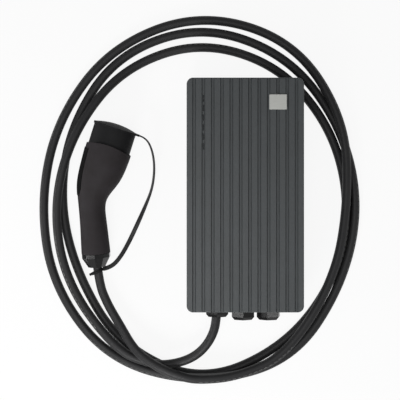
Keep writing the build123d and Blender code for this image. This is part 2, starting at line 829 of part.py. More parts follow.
with BuildPart() as connector_shell:
    for station, side, turn, width, thickness in grip_sections:
        with BuildSketch(grip_plane(station, side, turn)):
            Ellipse(width / 2, thickness / 2)
    loft()
    with BuildSketch(head):
        Circle(face_diameter / 2 + face_clearance)
    extrude(amount=-face_root, mode=Mode.SUBTRACT)
    # An arched lip on the front and back of the collar, round the cap's sleeve
    lip_inner = cap_diameter / 2 + lip_clearance
    with BuildSketch(head):
        Circle(collar_diameter / 2)
        Circle(lip_inner, mode=Mode.SUBTRACT)
    extrude(amount=lip_rise)
    with BuildSketch(Plane(head.origin, x_dir=head.x_dir, z_dir=-head.y_dir)):
        with BuildLine():
            ThreePointArc((-lip_inner, 0), (0, lip_rise), (lip_inner, 0))
            Polyline(
                (lip_inner, 0),
                (collar_diameter, 0),
                (collar_diameter, 2 * lip_rise),
                (-collar_diameter, 2 * lip_rise),
                (-collar_diameter, 0),
                (-lip_inner, 0),
            )
        make_face()
    extrude(amount=collar_diameter, both=True, mode=Mode.SUBTRACT)
finish(connector_shell.part, "connector_shell")

# Soft strip on the thumb side, a thin skin over the shell
with BuildPart() as connector_inlay:
    for station, side, turn, width, thickness in grip_sections:
        with BuildSketch(grip_plane(station, side, turn)):
            Ellipse(width / 2 + inlay_height, thickness / 2 + inlay_height)
    loft()
    with BuildSketch(Plane(head.origin, x_dir=head.y_dir, z_dir=-head.x_dir)):
        with BuildLine():
            Polyline(
                (-inlay_width / 2, inlay_start),
                (inlay_width / 2, inlay_start),
                (inlay_waist_width / 2, inlay_waist),
                (inlay_end_width / 2, inlay_end),
                (-inlay_end_width / 2, inlay_end),
                (-inlay_waist_width / 2, inlay_waist),
                close=True,
            )
        make_face()
    extrude(amount=collar_diameter, mode=Mode.INTERSECT)
    for station, side, turn, width, thickness in grip_sections:
        with BuildSketch(grip_plane(station, side, turn)):
            Ellipse(width / 2, thickness / 2)
    loft(mode=Mode.SUBTRACT)
finish(connector_inlay.part, "connector_inlay")

# Contact carrier with a flat on its upper side, and the contact sleeves in it
with BuildPart() as connector_face:
    with BuildSketch(head.offset(-face_root)):
        Circle(face_diameter / 2)
        with Locations((-face_diameter / 2, 0)):
            Rectangle(2 * face_flat, face_diameter, mode=Mode.SUBTRACT)
        with Locations(*power_places):
            Circle(sleeve_outer / 2 + sleeve_clearance, mode=Mode.SUBTRACT)
        with Locations(*signal_places):
            Circle(signal_outer / 2 + sleeve_clearance, mode=Mode.SUBTRACT)
    extrude(amount=face_root + face_length)
finish(connector_face.part, "connector_face")

with BuildPart() as contacts:
    with BuildSketch(head.offset(face_length - sleeve_recess)):
        with Locations(*power_places):
            Circle(sleeve_outer / 2)
            Circle(sleeve_inner / 2, mode=Mode.SUBTRACT)
        with Locations(*signal_places):
            Circle(signal_outer / 2)
            Circle(signal_inner / 2, mode=Mode.SUBTRACT)
    extrude(amount=-sleeve_length)
finish(contacts.part, "contacts")

# Clamping nut on the end of the grip: a short faceted band and a faceted cone
with BuildPart() as connector_nut:
    with BuildSketch(tail.offset(-clamp_gap)):
        RegularPolygon(clamp_radius, clamp_sides, rotation=180 / clamp_sides)
    extrude(amount=-clamp_prism)
    with BuildSketch(tail.offset(-clamp_gap - clamp_prism)):
        RegularPolygon(clamp_radius, clamp_sides, rotation=180 / clamp_sides)
    with BuildSketch(tail.offset(-clamp_gap - clamp_prism - clamp_cone)):
        RegularPolygon(clamp_end_radius, clamp_sides, rotation=180 / clamp_sides)
    loft(ruled=True)
    with BuildSketch(tail):
        Circle(cable_diameter / 2 + clamp_clearance)
    extrude(amount=-2 * (clamp_prism + clamp_cone), mode=Mode.SUBTRACT)
finish(connector_nut.part, "connector_nut")

# Charging cable, from the end of the grip through its nut to the coil
tail_points = [tail.origin, tail.origin - tail.z_dir * tail_straight] + [Vector(*p) for p in tail_bends]
with BuildPart() as connector_lead:
    with BuildLine() as tail_line:
        FilletPolyline(*tail_points, radius=cord_radii(tail_points))
    with BuildSketch(Plane(tail_line.line @ 0, z_dir=tail_line.line % 0)):
        Circle(cable_diameter / 2)
    sweep()
finish(connector_lead.part, "connector_lead")

# Dust cap: a cup over the contact carrier with a rim, a domed end and a lug for its tether
with BuildPart() as dust_cap:
    with BuildSketch(head.offset(cap_gap)):
        Circle(cap_diameter / 2)
    extrude(amount=cap_length + cap_dome)
    dome_radius = ((cap_diameter / 2) ** 2 + cap_dome**2) / (2 * cap_dome)
    with Locations(head.location * Location((0, 0, cap_gap + cap_length + cap_dome - dome_radius))):
        Sphere(dome_radius, mode=Mode.INTERSECT)
    with BuildSketch(head.offset(cap_gap + cap_length - cap_rim_width)):
        Circle(cap_rim_diameter / 2)
        with Locations((cap_rim_diameter / 2, 0)):
            Rectangle(2 * lug_length, lug_width)
    extrude(amount=cap_rim_width)
    with BuildSketch(head.offset(cap_gap)):
        Circle(face_diameter / 2 + cap_clearance)
        with Locations((-face_diameter / 2 - cap_clearance, 0)):
            Rectangle(2 * face_flat, face_diameter, mode=Mode.SUBTRACT)
    extrude(amount=face_length + cap_end_gap, mode=Mode.SUBTRACT)
finish(dust_cap.part, "dust_cap")

# Ring on the cable behind the nut, pulled askew by the tether, with a lug for it and a pointed tip to pull it by
skew = math.radians(ring_skew)
ring_inner = cable_diameter / 2 / math.cos(skew) + ring_length / 2 * math.tan(skew) + ring_clearance
ring_outer = ring_inner + ring_wall
ring_reach = (ring_outer + ring_lug) * math.sin(skew) + ring_length / 2 * math.cos(skew)
ring_middle = clamp_gap + clamp_prism + clamp_cone + ring_gap + ring_reach
ring_plane = tail.offset(-ring_middle).rotated((0, 0, ring_skew))
with BuildPart() as strap_ring:
    with BuildSketch(ring_plane):
        Circle(ring_outer)
        with Locations((ring_outer, 0)):
            Rectangle(2 * ring_lug, strap_width)
        with Locations((-ring_outer - ring_tip / 2, 0)):
            Triangle(a=2 * ring_tip, b=2 * ring_tip, C=ring_tip_angle, rotation=90)
        Circle(ring_inner, mode=Mode.SUBTRACT)
    extrude(amount=ring_length / 2, both=True)
finish(strap_ring.part, "strap_ring")

# Tether from just off the cap's lug to the lug of the ring
lug_face = Plane(head.location * Location((cap_rim_diameter / 2 + lug_length, 0, cap_gap + cap_length)))
strap_start = lug_face.origin + head.x_dir * strap_gap - head.z_dir * cap_rim_width / 2
ring_side = ring_plane.origin + ring_plane.x_dir * ring_outer
strap_points = [strap_start, strap_start + head.x_dir * strap_out]
strap_points += [Vector(*p) for p in strap_bends] + [ring_side]
with BuildPart() as cap_strap:
    with BuildLine() as strap_line:
        FilletPolyline(*strap_points, radius=cord_radii(strap_points))
    strap_way = strap_line.line % 0
    across = Vector(0, 0, 1).cross(strap_way)
    with BuildSketch(Plane(strap_line.line @ 0, x_dir=across, z_dir=strap_way)):
        Rectangle(strap_thickness, strap_width)
    sweep()
finish(cap_strap.part, "cap_strap")

for name, points in (("lead", lead_points), ("tail", tail_points), ("strap", strap_points)):
    runs = [(Vector(*b) - Vector(*a)).length for a, b in zip(points, points[1:])]
    print(name, "points", [tuple(round(c, 1) for c in Vector(*p)) for p in points])
    print(name, "runs", [round(r, 1) for r in runs], "radii", [round(r) for r in cord_radii(points)])
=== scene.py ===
# %% [markdown]
# # A wall charging box with its cable
#
# The object lies on its back, as it would on a table before it is hung up: a ribbed box, three
# cable glands, a thick cable laid in loose turns round it, and a vehicle connector under a dust
# cap. The solid pieces come from the CAD model and stay where they are. This lesson gives each of
# them its finish, and makes the two flexible pieces, the cable and the tether of the cap, which
# only Blender can show as they really lie.

import math

import bpy
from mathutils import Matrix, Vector


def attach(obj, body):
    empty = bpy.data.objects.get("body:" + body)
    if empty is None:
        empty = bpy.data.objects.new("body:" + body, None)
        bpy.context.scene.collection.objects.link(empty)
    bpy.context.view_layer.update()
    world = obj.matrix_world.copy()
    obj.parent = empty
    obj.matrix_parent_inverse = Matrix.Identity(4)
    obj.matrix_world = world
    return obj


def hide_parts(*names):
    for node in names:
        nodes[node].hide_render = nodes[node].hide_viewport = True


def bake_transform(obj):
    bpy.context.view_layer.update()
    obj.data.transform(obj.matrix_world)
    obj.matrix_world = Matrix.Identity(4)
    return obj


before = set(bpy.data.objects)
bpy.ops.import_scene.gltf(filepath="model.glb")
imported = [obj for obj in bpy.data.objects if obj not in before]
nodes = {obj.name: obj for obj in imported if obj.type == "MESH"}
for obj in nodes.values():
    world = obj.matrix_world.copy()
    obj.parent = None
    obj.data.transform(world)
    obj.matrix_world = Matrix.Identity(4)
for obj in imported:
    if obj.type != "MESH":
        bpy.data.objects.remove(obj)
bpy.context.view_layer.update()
MM = 0.001

# %% [markdown]
# ## Camera
#
# The picture was taken from straight above. A long lens from 1.5 m keeps the box's sides nearly
# hidden, and the width of the picture on the floor, 594 mm, sets the focal length. The camera's
# middle is a little left of the box because the coil reaches further that way.

# %% Place the camera
camera_height = 1500 * MM
picture_width = 594 * MM
picture_middle = Vector((-62.9 * MM, -6.9 * MM, 0.0))
camera_data = bpy.data.cameras.new("camera")
camera_data.sensor_width = 36.0
camera_data.lens = camera_data.sensor_width * camera_height / picture_width
camera = bpy.data.objects.new("camera", camera_data)
camera.location = picture_middle + Vector((0.0, 0.0, camera_height))
bpy.context.scene.collection.objects.link(camera)
bpy.context.scene.camera = camera
bpy.context.scene.view_settings.view_transform = "Standard"
print("lens", round(camera_data.lens, 1), "mm")

# %% [markdown]
# ## The cable's route
#
# A cable is one smooth line of a fixed length. A NURBS curve of order 3 bends evenly between its
# control points, as a stiff cable does, so the points are listed one by one where the cable hangs,
# and made by a loop where it is coiled. The coil's points are radii about its middle, one every 30
# degrees, read clockwise from the lower left. Such a curve runs a little inside its points, so the
# radii are divided by the share that it keeps.

# %% Control points of the charging cable
cable_diameter = 13.2
on_floor = cable_diameter / 2
lead_route = [
    (-38.0, -137.0, 42.0),
    (-38.0, -179.5, 42.0),
    (-47.0, -209.0, 38.0),
    (-67.0, -233.0, 30.0),
    (-96.0, -246.0, 23.5),
    (-131.0, -249.0, 19.6),
]
connector_route = [
    (-5.0, -263.5, 28.5),
    (-65.5, -268.5, 35.0),
    (-97.0, -261.0, 37.0),
    (-130.0, -246.5, 35.5),
    (-158.5, -225.5, 29.0),
    (-180.0, -190.5, 20.5),
    (-199.0, -159.0, 17.5),
    (-211.2, -128.4, 18.4),
    (-215.1, -84.7, 21.8),
]
coil_middle = (-62.9, -9.9)
coil_start = 240
coil_step = 30
# Each turn: radii, then heights of the cable's middle; a turn rises where it crosses over another
coil_turns = [
    (
        (241.5, 222, 208, 205.8, 221, 229.9, 225.2, 216, 214.8, 223.8, 240, 259),
        (21.5, 17.5, 20.0, 21.0) + (on_floor,) * 8,
    ),
    (
        (234, 203.6, 200.7, 214.4, 241.8, 253.3, 244.6, 230, 228.2, 235.7, 262.8, 257),
        (on_floor,) * 10 + (8.0, 22.5),
    ),
    (
        (261, 242.5, 228.2, 235.3, 255.3, 270.5, 266.5, 236.3, 210, 219.8, 248.3),
        (on_floor,) * 6 + (8.0, 21.0, 20.0, 20.0, 20.5),
    ),
]

# %% Work out the coil and read the whole line
cable_steps = 18
# Beside a control point, a line of order 3 takes 3/4 from it and 1/8 from each of its neighbours
kept_radius = 0.75 + 0.25 * math.cos(math.radians(coil_step))


def coil_point(index, radius, height):
    """Control point of a turn, counted clockwise from the coil's start."""
    angle = math.radians(coil_start - coil_step * index)
    reach = radius / kept_radius
    x, y = coil_middle
    return (x + reach * math.cos(angle), y + reach * math.sin(angle), height)


def line_through(name, control_points, steps):
    """Points of the NURBS line with these control points, which are in millimetres."""
    curve = bpy.data.curves.new(name, "CURVE")
    curve.dimensions = "3D"
    spline = curve.splines.new("NURBS")
    spline.points.add(len(control_points) - 1)
    for point, place in zip(spline.points, control_points):
        point.co = (*(Vector(place) * MM), 1.0)
    spline.order_u = 3
    spline.use_endpoint_u = True
    spline.resolution_u = steps
    carrier = bpy.data.objects.new(name, curve)
    bpy.context.scene.collection.objects.link(carrier)
    bpy.context.view_layer.update()
    shown = carrier.evaluated_get(bpy.context.evaluated_depsgraph_get())
    mesh = bpy.data.meshes.new_from_object(shown)
    line = [vertex.co.copy() for vertex in mesh.vertices]
    bpy.data.objects.remove(carrier)
    bpy.data.meshes.remove(mesh)
    return line


def length_of(line):
    return sum((b - a).length for a, b in zip(line, line[1:]))


cable_route = list(lead_route)
for radii, heights in coil_turns:
    cable_route += [coil_point(i, r, z) for i, (r, z) in enumerate(zip(radii, heights))]
cable_route += connector_route
cable_line = line_through("cable_line", cable_route, cable_steps)
print("cable", len(cable_line), "points,", round(length_of(cable_line), 3), "m")

# %% [markdown]
# ## A tube along a line
#
# Blender can give a curve a round bevel, but then the surface has no map of its own along the
# cable. Here the tube is made from rings of points, so its map counts metres along the cable and
# shares of the way round it, and the print on the sheath can follow the cable through every bend.
# Each ring is turned as little as possible from the last one, which keeps the tube from twisting.
# The same function makes the flat tether, with another outline and a twist.

# %% Sweep an outline along a line
def ring_frames(line):
    """Side and upward vectors at each point of a line, carried along it without twist."""
    ways = [(b - a).normalized() for a, b in zip(line, line[1:])]
    ways = [ways[0]] + [(a + b).normalized() for a, b in zip(ways, ways[1:])] + [ways[-1]]
    side = ways[0].cross(Vector((0.0, 0.0, 1.0))).normalized()
    frames = []
    for way in ways:
        side = (side - way * side.dot(way)).normalized()
        frames.append((side, side.cross(way)))
    return frames


def sweep_outline(name, line, outline, twist=None):
    """Closed tube of an outline along a line. twist gives its turn at a share of the length."""
    count = len(outline)
    total = length_of(line)
    vertices, along = [], []
    walked = 0.0
    for i, (place, (side, up)) in enumerate(zip(line, ring_frames(line))):
        walked += (place - line[i - 1]).length if i else 0.0
        turn = twist(walked / total) if twist else 0.0
        across = math.cos(turn) * side + math.sin(turn) * up
        rise = math.cos(turn) * up - math.sin(turn) * side
        vertices += [place + across * x + rise * y for x, y in outline]
        along.append(walked)
    faces = []
    for i in range(len(line) - 1):
        for j in range(count):
            k = (j + 1) % count
            faces.append((i * count + j, i * count + k, (i + 1) * count + k, (i + 1) * count + j))
    mesh = bpy.data.meshes.new(name)
    last = (len(line) - 1) * count
    ends = [tuple(reversed(range(count))), tuple(range(last, last + count))]
    mesh.from_pydata([tuple(v) for v in vertices], [], faces + ends)
    layer = mesh.uv_layers.new(name="along_and_round")
    for face in mesh.polygons:
        is_side = len(face.loop_indices) == 4
        spots = [divmod(mesh.loops[loop].vertex_index, count) for loop in face.loop_indices]
        wraps = is_side and any(spot == count - 1 for ring, spot in spots)
        for loop, (ring, spot) in zip(face.loop_indices, spots):
            spot = count if spot == 0 and wraps else spot
            layer.data[loop].uv = (along[ring], spot / count)
        face.use_smooth = is_side
    piece = bpy.data.objects.new(name, mesh)
    bpy.context.scene.collection.objects.link(piece)
    return piece


def circle_outline(radius, count):
    angles = [2 * math.pi * i / count for i in range(count)]
    return [(radius * math.cos(a), radius * math.sin(a)) for a in angles]


# %% Make the charging cable
cable_sides = 20
cable_outline = circle_outline(cable_diameter / 2 * MM, cable_sides)
cable = sweep_outline("charging_cable", cable_line, cable_outline)
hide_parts("cable_lead", "cable_coil", "connector_lead")
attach(cable, "base")
print("cable faces", len(cable.data.polygons))

# %% [markdown]
# ## The tether of the cap
#
# The tether is a moulded rubber band. It stands on edge where it leaves the lug of the cap and
# lies flat where it reaches the ring on the cable, so from above it looks narrow at one end and
# broad at the other. A band with rounded edges that turns a quarter along its way shows that. It
# is made in the place where it lies, bent between the cap and the ring, and is not attached to
# either of them.

# %% Make the tether
strap_route = [
    (-150.5, 86.0, 36.8),
    (-140.0, 82.6, 36.8),
    (-131.4, 62.5, 28.0),
    (-129.4, 37.0, 19.0),
    (-133.4, 9.5, 10.5),
    (-144.3, -17.3, 5.0),
    (-156.2, -43.9, 3.8),
    (-168.0, -69.1, 4.4),
    (-180.4, -91.5, 8.5),
    (-193.5, -105.8, 13.5),
    (-204.5, -107.6, 20.0),
]
strap_steps = 12
strap_width = 6.5 * MM
strap_thickness = 2.2 * MM
strap_edge_radius = strap_thickness * 0.42
twist_start = 0.35
twist_span = 0.5


def band_outline(width, thickness, radius, corner_steps=4):
    """Rounded rectangle, standing on edge."""
    points = []
    for corner in range(4):
        quarter = math.pi / 2 * corner
        centre_x = (thickness / 2 - radius) * (1 if corner in (0, 3) else -1)
        centre_y = (width / 2 - radius) * (1 if corner in (0, 1) else -1)
        for step in range(corner_steps + 1):
            angle = quarter + math.pi / 2 * step / corner_steps
            points.append((centre_x + radius * math.cos(angle), centre_y + radius * math.sin(angle)))
    return points


def strap_twist(share):
    """Quarter turn that starts a third of the way along."""
    t = min(max((share - twist_start) / twist_span, 0.0), 1.0)
    return math.pi / 2 * t * t * (3 - 2 * t)


strap_line = line_through("strap_line", strap_route, strap_steps)
strap_outline = band_outline(strap_width, strap_thickness, strap_edge_radius)
strap = sweep_outline("cap_tether", strap_line, strap_outline, strap_twist)
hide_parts("cap_strap")
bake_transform(strap)
print("tether", round(length_of(strap_line), 3), "m")

# %% [markdown]
# ## Finishes: helpers
#
# A finish is easier to judge when its colours are written as they are seen, so one function turns
# a hex code into the linear numbers that Blender works with. Another adds one node with its values
# and links, which keeps each recipe below short enough to read. Patterns are placed by object
# coordinates, which are metres here, so a grain of so many millimetres is a texture scale of one
# over that length.

# %% Colour helper and node helper
def srgb(code):
    """Linear colour of an sRGB hex code."""
    parts = [int(code[i : i + 2], 16) / 255 for i in (1, 3, 5)]
    return tuple(c / 12.92 if c <= 0.04045 else ((c + 0.055) / 1.055) ** 2.4 for c in parts) + (1.0,)


def add(tree, kind, inputs=None, **settings):
    """One shader node. inputs gives a socket a value, or links it to another node's output."""
    node = tree.nodes.new(kind)
    for key, value in settings.items():
        setattr(node, key, value)
    for socket, value in (inputs or {}).items():
        if isinstance(value, bpy.types.NodeSocket):
            tree.links.new(value, node.inputs[socket])
        else:
            node.inputs[socket].default_value = value
    return node


# %% [markdown]
# Most recipes share a few steps: a noise of a given grain, a value spread between two limits, a
# colour between two shades, and a sum or product of values. Each gets a short name here. A recipe
# starts with an empty material and ends by leading its surface to the material's output.

# %% Steps that recipes share
COLOUR_A, COLOUR_B, COLOUR_OUT = 6, 7, 2  # sockets of the Mix node when it mixes colours


def object_place(tree):
    return add(tree, "ShaderNodeTexCoord").outputs["Object"]


def noise(tree, place, width, detail=2.0):
    """Noise with grains of a width in millimetres."""
    values = {"Vector": place, "Scale": 1 / (width * MM), "Detail": detail}
    return add(tree, "ShaderNodeTexNoise", values).outputs[0]


def between(tree, value, low, high, start=0.0, stop=1.0):
    """A value that goes from start to stop, spread over low to high."""
    return add(tree, "ShaderNodeMapRange", {0: value, 1: start, 2: stop, 3: low, 4: high}).outputs[0]


def two_tone(tree, share, first, second):
    """Colour between two others."""
    inputs = {0: share, COLOUR_A: first, COLOUR_B: second}
    return add(tree, "ShaderNodeMix", inputs, data_type="RGBA").outputs[COLOUR_OUT]


def calculate(tree, operation, *values):
    return add(tree, "ShaderNodeMath", dict(enumerate(values)), operation=operation).outputs[0]


# %% Start a finish, end it and put it on pieces
def new_finish(name):
    """Empty material and its node tree."""
    material = bpy.data.materials.new(name)
    material.use_nodes = True
    material.node_tree.nodes.clear()
    return material, material.node_tree


def lead_out(tree, inputs):
    """Principled surface with these inputs, led to the material's output."""
    surface = add(tree, "ShaderNodeBsdfPrincipled", inputs)
    add(tree, "ShaderNodeOutputMaterial", {"Surface": surface.outputs[0]})


def dress(material, *names):
    """Give CAD pieces a finish."""
    for name in names:
        for slot in nodes[name].material_slots:
            slot.material = material
    print(material.name, "on", ", ".join(names))


# %% [markdown]
# ## Powder-coated cover
#
# The cover is cast or pressed aluminium with a baked polyester powder coat in dark grey. Powder
# melts into a skin with a slight orange peel, about half a millimetre from crest to crest, so it
# has a soft satin sheen and no sharp reflections. At one and a half millimetres to a pixel that
# peel can't be seen, so it is drawn 2.4 mm wide, with a fine speckle and a very slow change of
# shade, as a large coated face has. Noise needs no map on the CAD mesh, as a picture would.

# %% Powder coat
def powder_coat():
    material, tree = new_finish("powder_coated_aluminium")
    cloud_width, speckle_width, peel_width = 45, 1.6, 2.4
    faint, strong = 0.3, 0.7
    place = object_place(tree)
    cloud = noise(tree, place, cloud_width)
    speckle = noise(tree, place, speckle_width, detail=1.0)
    peel = noise(tree, place, peel_width)
    coat = two_tone(tree, cloud, srgb("#3d4041"), srgb("#44484a"))
    grain = between(tree, speckle, 0.9, 1.1, faint, strong)
    colour = add(tree, "ShaderNodeVectorMath", {0: coat, "Scale": grain}, operation="SCALE")
    sheen = between(tree, peel, 0.42, 0.52, faint, strong)
    skin = add(tree, "ShaderNodeBump", {"Height": peel, "Strength": 0.12, "Distance": 0.15 * MM})
    lead_out(
        tree,
        {"Base Color": colour.outputs[0], "Roughness": sheen, "IOR": 1.5, "Normal": skin.outputs[0]},
    )
    return material


dress(powder_coat(), "front_cover")

# %% [markdown]
# ## Moulded plastics and rubbers
#
# Most of the small pieces are moulded. The mould's wall is spark-eroded or blasted, which leaves
# pits a few tenths of a millimetre wide and takes the gloss away; a polished mould leaves a clear
# gloss. Handling and flow give a slow, faint change of shade. One recipe serves them all, with the
# piece's own colours, roughness and grain, and the grain is drawn about three times as wide as the
# real one so that it shows. A little rounding of the normals at the edges stands for the small
# radius that every mould has.

# %% Recipe of a moulded surface
def moulded(name, colour, worn, roughness, grain, ior=1.5, edge=0.4, specular=0.5, depth=0.1):
    """Moulded piece: plain and rubbed colour, roughness, then grain and edge in millimetres."""
    material, tree = new_finish(name)
    flow_width = 22
    uneven = 0.06
    place = object_place(tree)
    flow = noise(tree, place, flow_width, detail=4.0)
    pits = noise(tree, place, grain, detail=1.0)
    rubbed = between(tree, flow, 0.0, 1.0, 0.35, 0.7)
    tint = two_tone(tree, rubbed, srgb(colour), srgb(worn))
    gloss = between(tree, pits, roughness - uneven, roughness + uneven)
    round_edge = add(tree, "ShaderNodeBevel", {"Radius": edge * MM}, samples=4).outputs[0]
    skin = add(
        tree,
        "ShaderNodeBump",
        {"Height": pits, "Strength": 0.2, "Distance": depth * MM, "Normal": round_edge},
    )
    lead_out(
        tree,
        {
            "Base Color": tint,
            "Roughness": gloss,
            "IOR": ior,
            "Specular IOR Level": specular,
            "Normal": skin.outputs[0],
        },
    )
    return material


# %% [markdown]
# ### The connector
#
# The shell is glass-filled polyamide from a spark-eroded mould: nearly black with a brown cast,
# and matt. The strip for the thumb is soft thermoplastic rubber, blacker and duller. The clamping
# nut comes from a polished mould, so its facets catch the lamps. Cap and ring are a dull rubbery
# elastomer. The tether is the same elastomer drawn as a strap with a smoother skin, and its colour
# is painted lighter than the cap's, a painted sheen for the light that it catches.

# %% Connector, cap and ring
shell_finish = moulded("blasted_polyamide", "#2e2b2c", "#333032", 0.62, 1.2, specular=0.1)
strip_finish = moulded("soft_thumb_rubber", "#080808", "#0b0b0c", 0.75, 1.6, specular=0.1)
nut_finish = moulded(
    "polished_polyamide", "#101011", "#151516", 0.2, 2.5, ior=1.53, edge=0.6, depth=0.02
)
cap_finish = moulded("cap_elastomer", "#171718", "#1d1d1e", 0.62, 1.4, ior=1.48, specular=0.15)
# The tether's colour is painted lighter than the cap's, though both are one elastomer: painted sheen.
strap_finish = moulded("tether_elastomer", "#2b2b2c", "#323233", 0.5, 1.4, ior=1.48, specular=0.35)
dress(shell_finish, "connector_shell", "connector_face")
dress(strip_finish, "connector_inlay")
dress(nut_finish, "connector_nut")
dress(cap_finish, "dust_cap", "strap_ring")
strap.data.materials.append(strap_finish)

# %% [markdown]
# ### Glands, seals, tray and the modules inside
#
# Gland bodies and nuts are black polyamide with smooth flats, so a flat that faces a lamp shines
# while its neighbour stays dark. Seals are matt rubber. The tray is weather-proof ASA with a
# coarse grain. The modules on the board are flame-retardant polyester and polyamide, and the lamps
# on the small board are white mouldings with a clear resin face.

# %% Glands, seals, tray and modules
gland_numbers = (1, 2, 3)
gland_pieces = [f"gland_{piece}_{n}" for n in gland_numbers for piece in ("body", "locknut", "nut")]
gland_seals = [f"gland_seal_{n}" for n in gland_numbers]
gland_finish = moulded(
    "satin_polyamide", "#101011", "#161617", 0.22, 1.8, edge=0.6, specular=0.3, depth=0.04
)
relay_finish = moulded("relay_polyester", "#212327", "#2a2c31", 0.45, 1.2)
dress(gland_finish, *gland_pieces)
dress(moulded("seal_rubber", "#141414", "#1b1b1b", 0.75, 1.0), "cover_gasket", *gland_seals)
dress(moulded("grained_asa", "#2b2d2f", "#323436", 0.6, 2.0), "rear_housing")
dress(relay_finish, "power_relays", "power_supply", "current_sensor")
dress(moulded("grey_polyamide", "#8b8f90", "#999c9c", 0.45, 1.0), "terminal_block")
dress(moulded("lamp_resin", "#e9e6da", "#f2f0e6", 0.2, 0.8, ior=1.53), "status_leds")

# %% [markdown]
# ### Light guide
#
# The strip behind the light slots is smoked polycarbonate, dark and glossy while the lamps are
# off. Polycarbonate has a high index, 1.585, and a smoked grade still lets a little light through.
# Shallow waves across it, 4.4 mm long, spread the light of the lamps.

# %% Smoked polycarbonate
def smoked_polycarbonate():
    material, tree = new_finish("smoked_polycarbonate")
    haze_width = 6
    radians_of_a_wave_node = 20  # a wave texture turns by this much over one unit of its scale
    wave_length = 4.4
    wave_scale = 2 * math.pi / (radians_of_a_wave_node * wave_length * MM)
    place = object_place(tree)
    waves = add(tree, "ShaderNodeTexWave", {"Vector": place, "Scale": wave_scale}, bands_direction="Y")
    tint = two_tone(tree, noise(tree, place, haze_width), srgb("#181a1c"), srgb("#212427"))
    lines = add(
        tree, "ShaderNodeBump", {"Height": waves.outputs[1], "Strength": 0.15, "Distance": 0.1 * MM}
    )
    lead_out(
        tree,
        {
            "Base Color": tint,
            "Roughness": 0.15,
            "IOR": 1.585,
            "Transmission Weight": 0.1,
            "Normal": lines.outputs[0],
        },
    )
    return material


dress(smoked_polycarbonate(), "light_guide")

# %% [markdown]
# ## Metals
#
# The badge plate is aluminium brushed in one direction: long shallow scratches that blur all it
# reflects into an even grey with faint lines. Bracket and screws are steel with a bright zinc
# layer, whose crystals give patches of slightly different shine. The lid of the radio module is
# tinned, and the contact sleeves are silver over copper. A metal keeps the default index; its
# colour is what it reflects. The brush lines are really a few hundredths of a millimetre apart and
# are drawn 0.9 mm apart, and the zinc patches are 4 mm wide.

# %% Brushed aluminium
def brushed_aluminium():
    material, tree = new_finish("brushed_aluminium")
    line_length, line_pitch = 12 * MM, 0.9 * MM
    stretch = add(
        tree,
        "ShaderNodeMapping",
        {"Vector": object_place(tree), "Scale": (1 / line_length, 1 / line_pitch, 1.0)},
    )
    pattern = {"Vector": stretch.outputs[0], "Scale": 1.0, "Detail": 3.0}
    brush = add(tree, "ShaderNodeTexNoise", pattern).outputs[0]
    tint = two_tone(tree, brush, srgb("#bcbdb9"), srgb("#d2d3cf"))
    gloss = between(tree, brush, 0.5, 0.62)
    lines = add(tree, "ShaderNodeBump", {"Height": brush, "Strength": 0.15, "Distance": 0.05 * MM})
    lead_out(
        tree,
        {"Base Color": tint, "Metallic": 1.0, "Roughness": gloss, "Normal": lines.outputs[0]},
    )
    return material


dress(brushed_aluminium(), "badge_plate")


# %% Plated metals
def plated(name, colour, patch, roughness, patch_width):
    """Plated metal with patches of two shades, their width in millimetres."""
    material, tree = new_finish(name)
    smear_width = 15
    place = object_place(tree)
    crystals = add(tree, "ShaderNodeTexVoronoi", {"Vector": place, "Scale": 1 / (patch_width * MM)})
    smear = noise(tree, place, smear_width, detail=5.0)
    level = add(tree, "ShaderNodeSeparateColor", {0: crystals.outputs["Color"]}).outputs[0]
    tint = two_tone(tree, level, srgb(colour), srgb(patch))
    gloss = between(tree, smear, roughness - 0.1, roughness + 0.15)
    lead_out(tree, {"Base Color": tint, "Metallic": 1.0, "Roughness": gloss})
    return material


zinc = plated("zinc_plated_steel", "#b4b9be", "#c3c6c6", 0.36, 4.0)
dress(zinc, "wall_bracket", "bracket_screws", "board_screws", "cover_screws")
dress(plated("tinned_steel", "#c2c3bf", "#cccdc8", 0.3, 2.5), "radio_module")
dress(plated("silvered_copper", "#cfc9bb", "#d8d3c6", 0.25, 1.5), "contacts")

# %% [markdown]
# ## Boards and wires
#
# The boards are glass-fibre laminate under green lacquer, with copper tracks that show through it
# as lighter lines, here 2.5 mm apart. The five wires have PVC insulation in the colours of a
# three-phase cable, and each wire is a loose part of one mesh, so a number per loose part picks
# its colour.

# %% Circuit board
def lacquered_board():
    material, tree = new_finish("lacquered_board")
    tracks = add(
        tree,
        "ShaderNodeTexBrick",
        {
            "Vector": object_place(tree),
            "Scale": 1.0,
            "Mortar Size": 0.35 * MM,
            "Mortar Smooth": 0.1,
            "Brick Width": 18 * MM,
            "Row Height": 2.5 * MM,
        },
    ).outputs[1]
    tint = two_tone(tree, tracks, srgb("#1d5733"), srgb("#3f8552"))
    lacquer = add(tree, "ShaderNodeBump", {"Height": tracks, "Strength": 0.3, "Distance": 0.04 * MM})
    lead_out(tree, {"Base Color": tint, "Roughness": 0.32, "IOR": 1.55, "Normal": lacquer.outputs[0]})
    return material


dress(lacquered_board(), "main_board", "led_board")


# %% Wire insulation
def wire_insulation():
    material, tree = new_finish("wire_pvc")
    dust_width = 3
    island = add(tree, "ShaderNodeNewGeometry").outputs["Random Per Island"]
    picked = add(tree, "ShaderNodeValToRGB", {0: island})
    ramp = picked.color_ramp
    ramp.interpolation = "CONSTANT"
    wire_colours = ["#5a3420", "#1b1b1c", "#7b7f82", "#24539b", "#7f9a2c"]
    for i, code in enumerate(wire_colours):
        stop = ramp.elements[i] if i < 2 else ramp.elements.new(i / len(wire_colours))
        stop.position = i / len(wire_colours)
        stop.color = srgb(code)
    gloss = between(tree, noise(tree, object_place(tree), dust_width), 0.35, 0.5)
    lead_out(tree, {"Base Color": picked.outputs[0], "Roughness": gloss, "IOR": 1.54})
    return material


dress(wire_insulation(), "output_wires")

